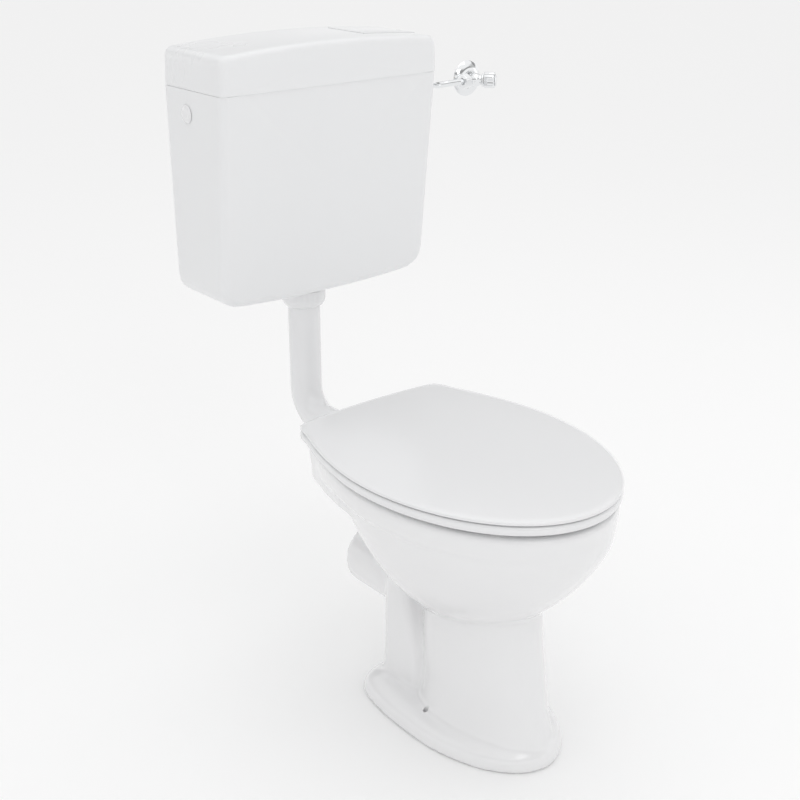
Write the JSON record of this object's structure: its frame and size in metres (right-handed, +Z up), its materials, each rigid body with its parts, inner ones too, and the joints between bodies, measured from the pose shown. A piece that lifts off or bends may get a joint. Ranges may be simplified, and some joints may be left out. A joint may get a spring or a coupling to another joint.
{
  "type": "floor-standing toilet",
  "caption": "Floor-standing washdown pan with seat and lid, low-level wall cistern, flush bend, side inlet tube and angle valve.",
  "frame": {"origin": "on the floor, midway between the pan's two floor fixing holes, on the foot's cast cross-web", "axes": "+Z up, +Y towards the wall, X = 0 is the pan's plane of symmetry"},
  "size_m": [0.6005, 0.71, 0.9503],
  "materials": {
    "china": "glossy white glaze",
    "seat_plastic": "smooth satin-gloss white",
    "tank_plastic": "smooth satin white",
    "inner_plastic": "moulded grey-white",
    "blue_plastic": "moulded blue-grey",
    "chrome": "polished",
    "brass": "machined",
    "steel": "zinc plated",
    "black_rubber": "matt",
    "white_rubber": "matt off-white"
  },
  "bodies": {
    "base": {"pan": "china", "cistern_tank": "tank_plastic", "valve_seat": "inner_plastic", "seat_gasket": "black_rubber", "tank_backnut": "inner_plastic", "pipe_nut": "seat_plastic", "pipe_seal": "black_rubber", "flush_pipe": "seat_plastic", "inlet_cone": "white_rubber", "lever_bracket": "inner_plastic", "lever_pin": "steel", "fill_valve": "inner_plastic", "fill_washer": "black_rubber", "fill_backnut": "inner_plastic", "arm_pin": "steel", "fill_tube": "inner_plastic", "blanking_plug": "seat_plastic", "plug_nut": "inner_plastic", "supply_tube": "chrome", "inlet_nut": "brass", "valve_body": "chrome", "valve_nut": "chrome", "valve_bonnet": "chrome", "rosette": "chrome", "hinge_post_left": "seat_plastic", "hinge_pin_left": "steel", "hinge_bolt_left": "inner_plastic", "hinge_washer_left": "black_rubber", "wing_nut_left": "inner_plastic", "wall_screw_left": "steel", "screw_washer_left": "inner_plastic", "hinge_post_right": "seat_plastic", "hinge_pin_right": "steel", "hinge_bolt_right": "inner_plastic", "hinge_washer_right": "black_rubber", "wing_nut_right": "inner_plastic", "wall_screw_right": "steel", "screw_washer_right": "inner_plastic"},
    "seat": {"seat_ring": "seat_plastic", "seat_buffer_front_left": "white_rubber", "seat_buffer_front_right": "white_rubber", "seat_buffer_rear_left": "white_rubber", "seat_buffer_rear_right": "white_rubber"},
    "lid": {"seat_lid": "seat_plastic", "lid_buffer_left": "white_rubber", "lid_buffer_right": "white_rubber"},
    "cistern_lid": {"cistern_lid": "tank_plastic", "plate_pin": "steel"},
    "flush_plate": {"flush_plate": "tank_plastic"},
    "lift_lever": {"lift_lever": "blue_plastic"},
    "flush_valve": {"flush_valve": "blue_plastic", "valve_washer": "black_rubber"},
    "float_arm": {"float_arm": "blue_plastic", "float": "inner_plastic"},
    "fill_piston": {"fill_piston": "blue_plastic"},
    "handle": {"valve_handle": "chrome", "handle_cap": "chrome", "valve_spindle": "brass"}
  },
  "joints": [
    {"name": "seat_hinge", "type": "hinge", "parent": "base", "child": "seat", "pos_m": [0, 0.222, 0.415], "axis": [1, 0, 0], "range_deg": [-95, 0]},
    {"name": "lid_hinge", "type": "hinge", "parent": "seat", "child": "lid", "pos_m": [0, 0.222, 0.415], "axis": [-1, 0, 0], "range_deg": [0, 95]},
    {"name": "cistern_lid_lift", "type": "slide", "parent": "base", "child": "cistern_lid", "axis": [0, 0, 1], "range_m": [0, 0.12]},
    {"name": "plate_hinge", "type": "hinge", "parent": "cistern_lid", "child": "flush_plate", "pos_m": [0.085, 0.378, 0.93748], "axis": [0, 1, 0], "range_deg": [0, 7], "stiffness_Nm_per_rad": 6, "springref_deg": -1.15},
    {"name": "lever_hinge", "type": "hinge", "parent": "base", "child": "lift_lever", "pos_m": [0.1, 0.352, 0.868], "axis": [0, 1, 0], "range_deg": [0, 11.5]},
    {"name": "flush_valve_lift", "type": "slide", "parent": "base", "child": "flush_valve", "axis": [0, 0, 1], "range_m": [0, 0.021]},
    {"name": "float_arm_hinge", "type": "hinge", "parent": "base", "child": "float_arm", "pos_m": [0.152, 0.386, 0.838], "axis": [0, 1, 0], "range_deg": [-20, 0]},
    {"name": "fill_piston_slide", "type": "slide", "parent": "base", "child": "fill_piston", "axis": [-1, 0, 0], "range_m": [0, 0.0053]},
    {"name": "valve_handle_turn", "type": "hinge", "parent": "base", "child": "handle", "pos_m": [0.377, 0.417, 0.844], "axis": [0.6428, -0.766, 0], "range_deg": [0, 1080]}
  ],
  "couplings": [
    {"joint": "lever_hinge", "follows": "plate_hinge", "ratio": 1.6},
    {"joint": "flush_valve_lift", "follows": "plate_hinge", "m_per_rad": 0.165},
    {"joint": "fill_piston_slide", "follows": "float_arm_hinge", "m_per_rad": -0.0148}
  ]
}
